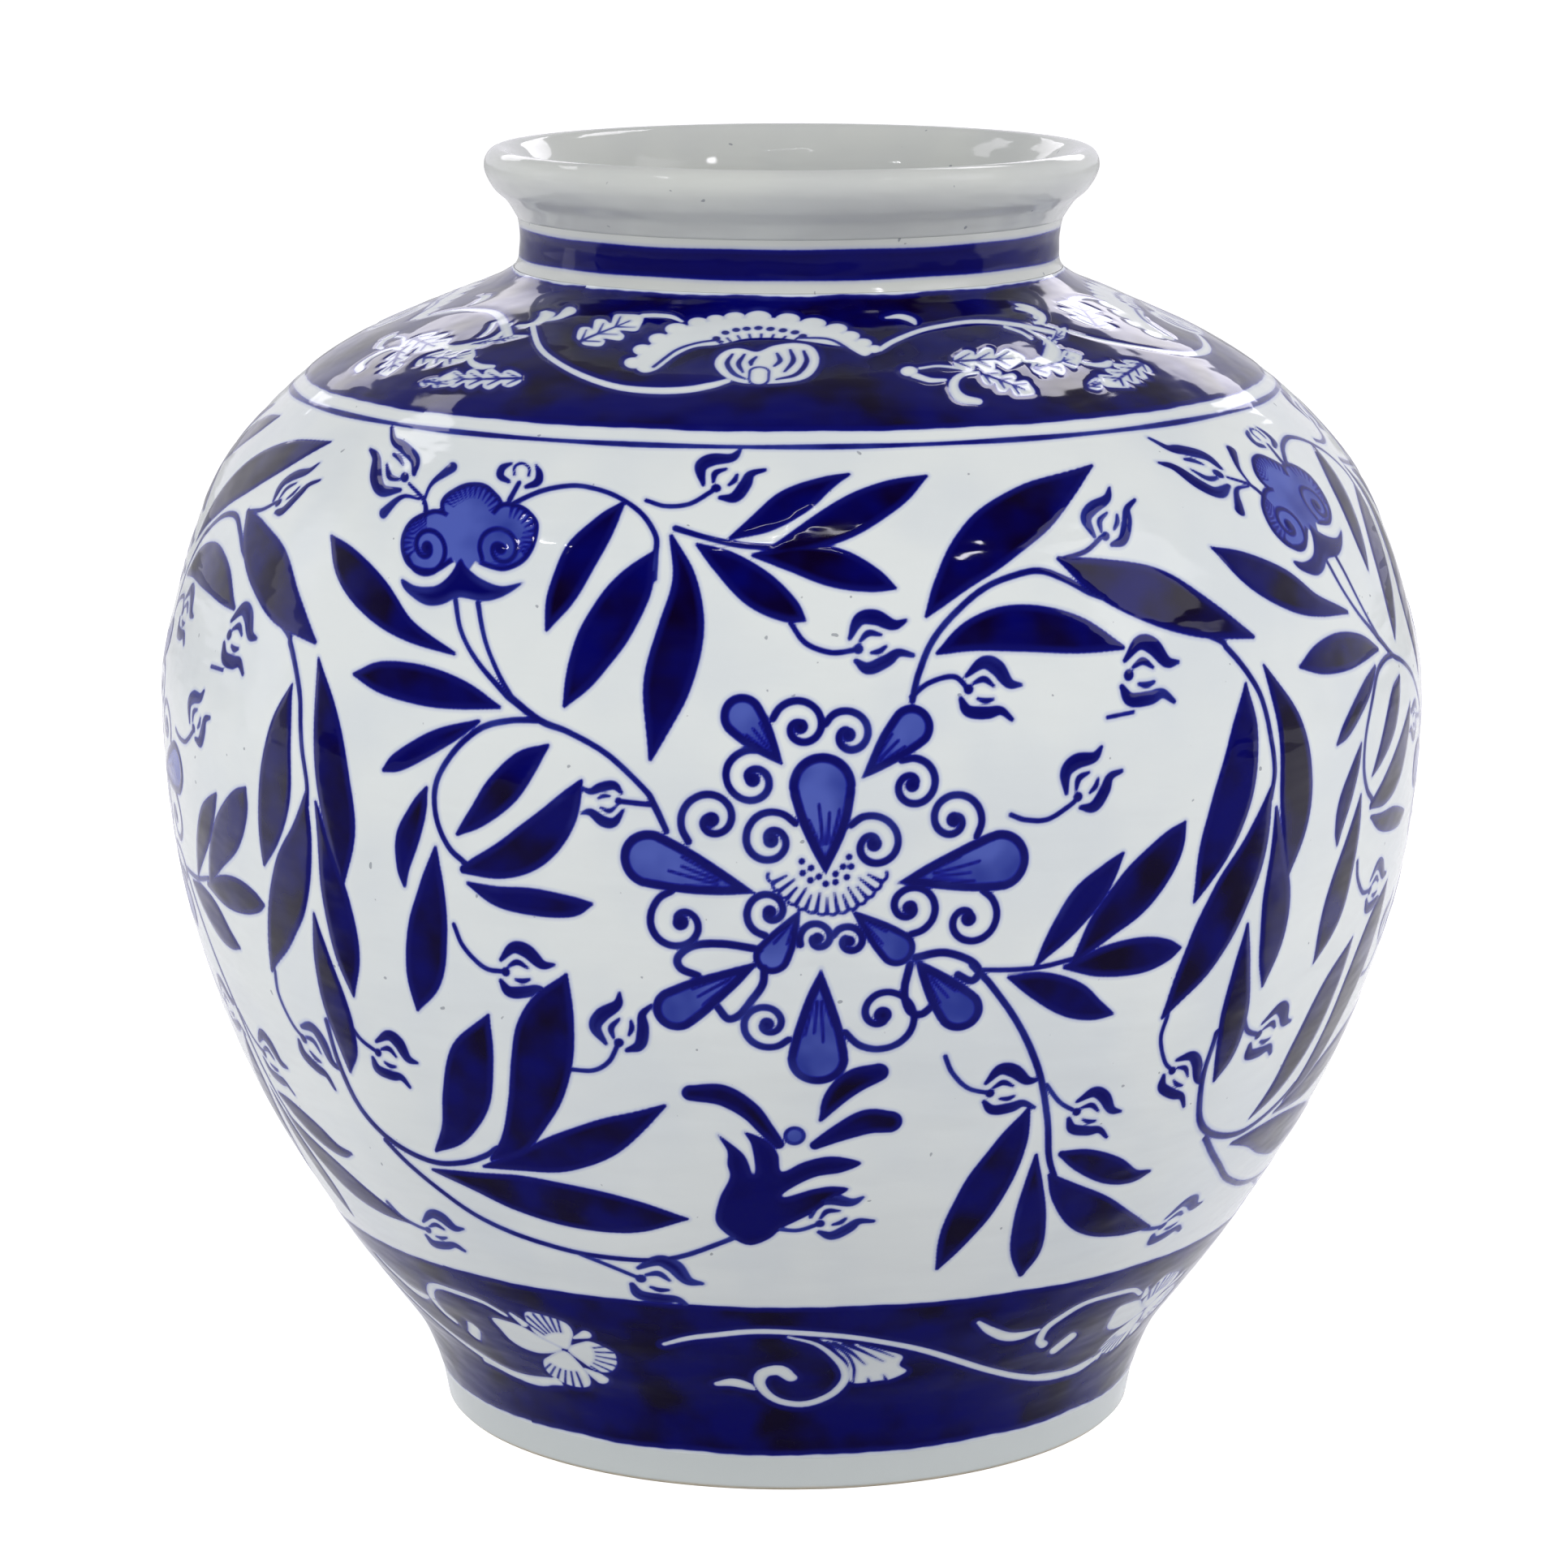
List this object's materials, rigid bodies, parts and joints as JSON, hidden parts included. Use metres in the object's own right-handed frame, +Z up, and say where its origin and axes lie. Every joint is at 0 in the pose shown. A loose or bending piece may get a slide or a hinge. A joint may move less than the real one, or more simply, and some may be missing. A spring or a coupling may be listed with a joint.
{
  "type": "talavera pottery vase",
  "caption": "Round-bellied glazed pottery jar with a short collar, a rolled lip, a turned foot and hand-painted blue floral decoration on white.",
  "frame": {"origin": "centre of the foot at the level of the surface that the vase stands on", "axes": "+Z up the vase's axis through the mouth; +Y away from the viewer; the section is round, so X and Y differ only in the painting"},
  "size_m": [0.2832, 0.2832, 0.286],
  "materials": {
    "white_glaze": "glossy cool white tin glaze with small dark specks",
    "cobalt_glaze": "glossy brushed cobalt blue under the glaze, with soft edges",
    "bare_clay": "unglazed fired clay, matt"
  },
  "bodies": {
    "root": {"foot_ring": "bare_clay", "base_disc": "white_glaze", "lower_body": "white_glaze", "upper_body": "white_glaze", "neck_collar": "white_glaze", "rim_lip": "white_glaze"}
  },
  "joints": []
}
